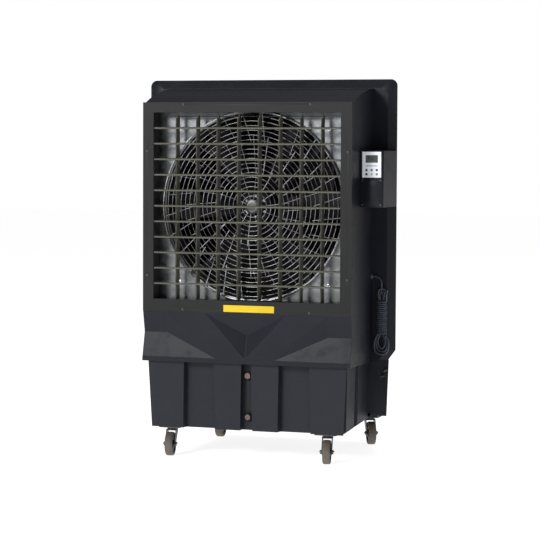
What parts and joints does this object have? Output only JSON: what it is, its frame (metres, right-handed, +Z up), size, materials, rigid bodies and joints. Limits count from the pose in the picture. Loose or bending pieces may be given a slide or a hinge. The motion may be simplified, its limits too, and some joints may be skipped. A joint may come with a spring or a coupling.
{
  "type": "evaporative cooler",
  "caption": "Upright wheeled evaporative air cooler: louvred fan outlet in front, faceted skirt over a ribbed water tank, wide pad housing behind, swivel casters.",
  "frame": {"origin": "on the floor under the middle of the cooler's outline, its cord left out", "axes": "+Z up, +Y from the louvres towards the cooling pad, +X to the right of someone facing the louvres"},
  "size_m": [1.105, 0.7722, 1.577],
  "materials": {
    "housing_plastic": "satin moulded",
    "tank_plastic": "satin moulded",
    "frame_plastic": "satin",
    "louvre_plastic": "satin",
    "zinc_sheet": "spangled",
    "bright_wire": "bright",
    "blade_plastic": "satin",
    "motor_paint": "semi gloss",
    "pad_paper": "matt",
    "white_plastic": "satin",
    "pump_plastic": "satin",
    "hose_rubber": "matt",
    "brass": "dull",
    "caster_zinc": "dull plated",
    "tread": "matt",
    "panel_plastic": "satin",
    "lens": "clear",
    "key_plastic": "gloss",
    "cord_rubber": "satin",
    "screw_steel": "dull"
  },
  "bodies": {
    "root": {"main_housing": "housing_plastic", "front_skirt": "housing_plastic", "water_tank": "tank_plastic", "front_frame": "frame_plastic", "frame_screws": "screw_steel", "fan_shroud": "zinc_sheet", "fan_guard": "bright_wire", "fan_motor": "motor_paint", "motor_mount": "zinc_sheet", "pad_frame": "housing_plastic", "cooling_pad": "pad_paper", "water_distributor": "white_plastic", "water_pump": "pump_plastic", "supply_hose": "hose_rubber", "float_valve": "white_plastic", "water_stubs": "hose_rubber", "channel_fittings": "brass", "caster_plates": "caster_zinc", "control_box": "housing_plastic", "control_cover": "housing_plastic", "display_panel": "panel_plastic", "display_lens": "lens", "cord_gland": "cord_rubber", "power_cord": "cord_rubber", "cord_hank": "cord_rubber"},
    "fan_rotor": {"fan_rotor": "blade_plastic"},
    "fin_link": {"fin_link": "louvre_plastic"},
    "louvre_01": {"louvre_01": "louvre_plastic"},
    "louvre_02": {"louvre_02": "louvre_plastic"},
    "louvre_03": {"louvre_03": "louvre_plastic"},
    "louvre_04": {"louvre_04": "louvre_plastic"},
    "louvre_05": {"louvre_05": "louvre_plastic"},
    "louvre_06": {"louvre_06": "louvre_plastic"},
    "louvre_07": {"louvre_07": "louvre_plastic"},
    "louvre_08": {"louvre_08": "louvre_plastic"},
    "louvre_09": {"louvre_09": "louvre_plastic"},
    "louvre_10": {"louvre_10": "louvre_plastic"},
    "louvre_11": {"louvre_11": "louvre_plastic"},
    "fin_01": {"fin_01": "louvre_plastic"},
    "fin_02": {"fin_02": "louvre_plastic"},
    "fin_03": {"fin_03": "louvre_plastic"},
    "fin_04": {"fin_04": "louvre_plastic"},
    "fin_05": {"fin_05": "louvre_plastic"},
    "fin_06": {"fin_06": "louvre_plastic"},
    "fin_07": {"fin_07": "louvre_plastic"},
    "fin_08": {"fin_08": "louvre_plastic"},
    "caster_fork_front_left": {"caster_fork_front_left": "caster_zinc"},
    "caster_wheel_front_left": {"caster_wheel_front_left": "tread"},
    "caster_fork_front_right": {"caster_fork_front_right": "caster_zinc"},
    "caster_wheel_front_right": {"caster_wheel_front_right": "tread"},
    "caster_fork_rear_left": {"caster_fork_rear_left": "caster_zinc"},
    "caster_wheel_rear_left": {"caster_wheel_rear_left": "tread"},
    "caster_fork_rear_right": {"caster_fork_rear_right": "caster_zinc"},
    "caster_wheel_rear_right": {"caster_wheel_rear_right": "tread"},
    "key_1": {"key_1": "key_plastic"},
    "key_2": {"key_2": "key_plastic"},
    "key_3": {"key_3": "key_plastic"},
    "key_4": {"key_4": "key_plastic"},
    "key_5": {"key_5": "key_plastic"},
    "key_6": {"key_6": "key_plastic"}
  },
  "joints": [
    {"name": "louvre_01_tilt", "type": "hinge", "parent": "root", "child": "louvre_01", "pos_m": [0, -0.3395, 0.72367], "axis": [1, 0, 0], "range_deg": [-35, 35]},
    {"name": "louvre_02_tilt", "type": "hinge", "parent": "root", "child": "louvre_02", "pos_m": [0, -0.3395, 0.78833], "axis": [1, 0, 0], "range_deg": [-35, 35]},
    {"name": "louvre_03_tilt", "type": "hinge", "parent": "root", "child": "louvre_03", "pos_m": [0, -0.3395, 0.853], "axis": [1, 0, 0], "range_deg": [-35, 35]},
    {"name": "louvre_04_tilt", "type": "hinge", "parent": "root", "child": "louvre_04", "pos_m": [0, -0.3395, 0.91767], "axis": [1, 0, 0], "range_deg": [-35, 35]},
    {"name": "louvre_05_tilt", "type": "hinge", "parent": "root", "child": "louvre_05", "pos_m": [0, -0.3395, 0.98233], "axis": [1, 0, 0], "range_deg": [-35, 35]},
    {"name": "louvre_06_tilt", "type": "hinge", "parent": "root", "child": "louvre_06", "pos_m": [0, -0.3395, 1.047], "axis": [1, 0, 0], "range_deg": [-35, 35]},
    {"name": "louvre_07_tilt", "type": "hinge", "parent": "root", "child": "louvre_07", "pos_m": [0, -0.3395, 1.11167], "axis": [1, 0, 0], "range_deg": [-35, 35]},
    {"name": "louvre_08_tilt", "type": "hinge", "parent": "root", "child": "louvre_08", "pos_m": [0, -0.3395, 1.17633], "axis": [1, 0, 0], "range_deg": [-35, 35]},
    {"name": "louvre_09_tilt", "type": "hinge", "parent": "root", "child": "louvre_09", "pos_m": [0, -0.3395, 1.241], "axis": [1, 0, 0], "range_deg": [-35, 35]},
    {"name": "louvre_10_tilt", "type": "hinge", "parent": "root", "child": "louvre_10", "pos_m": [0, -0.3395, 1.30567], "axis": [1, 0, 0], "range_deg": [-35, 35]},
    {"name": "louvre_11_tilt", "type": "hinge", "parent": "root", "child": "louvre_11", "pos_m": [0, -0.3395, 1.37033], "axis": [1, 0, 0], "range_deg": [-35, 35]},
    {"name": "fin_01_swing", "type": "hinge", "parent": "root", "child": "fin_01", "pos_m": [-0.31733, -0.3055, 1.047], "axis": [0, 0, 1], "range_deg": [-35, 35]},
    {"name": "fin_02_swing", "type": "hinge", "parent": "root", "child": "fin_02", "pos_m": [-0.22667, -0.3055, 1.047], "axis": [0, 0, 1], "range_deg": [-35, 35]},
    {"name": "fin_03_swing", "type": "hinge", "parent": "root", "child": "fin_03", "pos_m": [-0.136, -0.3055, 1.047], "axis": [0, 0, 1], "range_deg": [-35, 35]},
    {"name": "fin_04_swing", "type": "hinge", "parent": "root", "child": "fin_04", "pos_m": [-0.04533, -0.3055, 1.047], "axis": [0, 0, 1], "range_deg": [-35, 35]},
    {"name": "fin_05_swing", "type": "hinge", "parent": "root", "child": "fin_05", "pos_m": [0.04533, -0.3055, 1.047], "axis": [0, 0, 1], "range_deg": [-35, 35]},
    {"name": "fin_06_swing", "type": "hinge", "parent": "root", "child": "fin_06", "pos_m": [0.136, -0.3055, 1.047], "axis": [0, 0, 1], "range_deg": [-35, 35]},
    {"name": "fin_07_swing", "type": "hinge", "parent": "root", "child": "fin_07", "pos_m": [0.22667, -0.3055, 1.047], "axis": [0, 0, 1], "range_deg": [-35, 35]},
    {"name": "fin_08_swing", "type": "hinge", "parent": "root", "child": "fin_08", "pos_m": [0.31733, -0.3055, 1.047], "axis": [0, 0, 1], "range_deg": [-35, 35]},
    {"name": "fin_link_slide", "type": "slide", "parent": "root", "child": "fin_link", "axis": [1, 0, 0], "range_m": [-0.0069, 0.0069]},
    {"name": "fan_spin", "type": "hinge", "parent": "root", "child": "fan_rotor", "pos_m": [0, -0.1915, 1.047], "axis": [0, 1, 0], "continuous": true},
    {"name": "swivel_front_left", "type": "hinge", "parent": "root", "child": "caster_fork_front_left", "pos_m": [-0.343, -0.2995, 0.11], "axis": [0, 0, 1], "continuous": true},
    {"name": "roll_front_left", "type": "hinge", "parent": "caster_fork_front_left", "child": "caster_wheel_front_left", "pos_m": [-0.33675, -0.33495, 0.05], "axis": [0.9848, 0.1736, 0], "continuous": true},
    {"name": "swivel_front_right", "type": "hinge", "parent": "root", "child": "caster_fork_front_right", "pos_m": [0.343, -0.2995, 0.11], "axis": [0, 0, 1], "continuous": true},
    {"name": "roll_front_right", "type": "hinge", "parent": "caster_fork_front_right", "child": "caster_wheel_front_right", "pos_m": [0.3511, -0.33457, 0.05], "axis": [0.9744, 0.225, 0], "continuous": true},
    {"name": "swivel_rear_left", "type": "hinge", "parent": "root", "child": "caster_fork_rear_left", "pos_m": [-0.343, 0.3125, 0.11], "axis": [0, 0, 1], "continuous": true},
    {"name": "roll_rear_left", "type": "hinge", "parent": "caster_fork_rear_left", "child": "caster_wheel_rear_left", "pos_m": [-0.33986, 0.27664, 0.05], "axis": [0.9962, 0.0872, 0], "continuous": true},
    {"name": "swivel_rear_right", "type": "hinge", "parent": "root", "child": "caster_fork_rear_right", "pos_m": [0.343, 0.3125, 0.11], "axis": [0, 0, 1], "continuous": true},
    {"name": "roll_rear_right", "type": "hinge", "parent": "caster_fork_rear_right", "child": "caster_wheel_rear_right", "pos_m": [0.35878, 0.28015, 0.05], "axis": [0.8988, 0.4384, 0], "continuous": true},
    {"name": "key_1_press", "type": "slide", "parent": "root", "child": "key_1", "axis": [0, 1, 0], "range_m": [0, 0.001], "stiffness_N_per_m": 400},
    {"name": "key_2_press", "type": "slide", "parent": "root", "child": "key_2", "axis": [0, 1, 0], "range_m": [0, 0.001], "stiffness_N_per_m": 400},
    {"name": "key_3_press", "type": "slide", "parent": "root", "child": "key_3", "axis": [0, 1, 0], "range_m": [0, 0.001], "stiffness_N_per_m": 400},
    {"name": "key_4_press", "type": "slide", "parent": "root", "child": "key_4", "axis": [0, 1, 0], "range_m": [0, 0.001], "stiffness_N_per_m": 400},
    {"name": "key_5_press", "type": "slide", "parent": "root", "child": "key_5", "axis": [0, 1, 0], "range_m": [0, 0.001], "stiffness_N_per_m": 400},
    {"name": "key_6_press", "type": "slide", "parent": "root", "child": "key_6", "axis": [0, 1, 0], "range_m": [0, 0.001], "stiffness_N_per_m": 400}
  ],
  "couplings": [
    {"joint": "louvre_02_tilt", "follows": "louvre_01_tilt", "ratio": 1},
    {"joint": "louvre_03_tilt", "follows": "louvre_01_tilt", "ratio": 1},
    {"joint": "louvre_04_tilt", "follows": "louvre_01_tilt", "ratio": 1},
    {"joint": "louvre_05_tilt", "follows": "louvre_01_tilt", "ratio": 1},
    {"joint": "louvre_06_tilt", "follows": "louvre_01_tilt", "ratio": 1},
    {"joint": "louvre_07_tilt", "follows": "louvre_01_tilt", "ratio": 1},
    {"joint": "louvre_08_tilt", "follows": "louvre_01_tilt", "ratio": 1},
    {"joint": "louvre_09_tilt", "follows": "louvre_01_tilt", "ratio": 1},
    {"joint": "louvre_10_tilt", "follows": "louvre_01_tilt", "ratio": 1},
    {"joint": "louvre_11_tilt", "follows": "louvre_01_tilt", "ratio": 1},
    {"joint": "fin_02_swing", "follows": "fin_01_swing", "ratio": 1},
    {"joint": "fin_03_swing", "follows": "fin_01_swing", "ratio": 1},
    {"joint": "fin_04_swing", "follows": "fin_01_swing", "ratio": 1},
    {"joint": "fin_05_swing", "follows": "fin_01_swing", "ratio": 1},
    {"joint": "fin_06_swing", "follows": "fin_01_swing", "ratio": 1},
    {"joint": "fin_07_swing", "follows": "fin_01_swing", "ratio": 1},
    {"joint": "fin_08_swing", "follows": "fin_01_swing", "ratio": 1},
    {"joint": "fin_link_slide", "follows": "fin_01_swing", "m_per_rad": -0.011267}
  ]
}
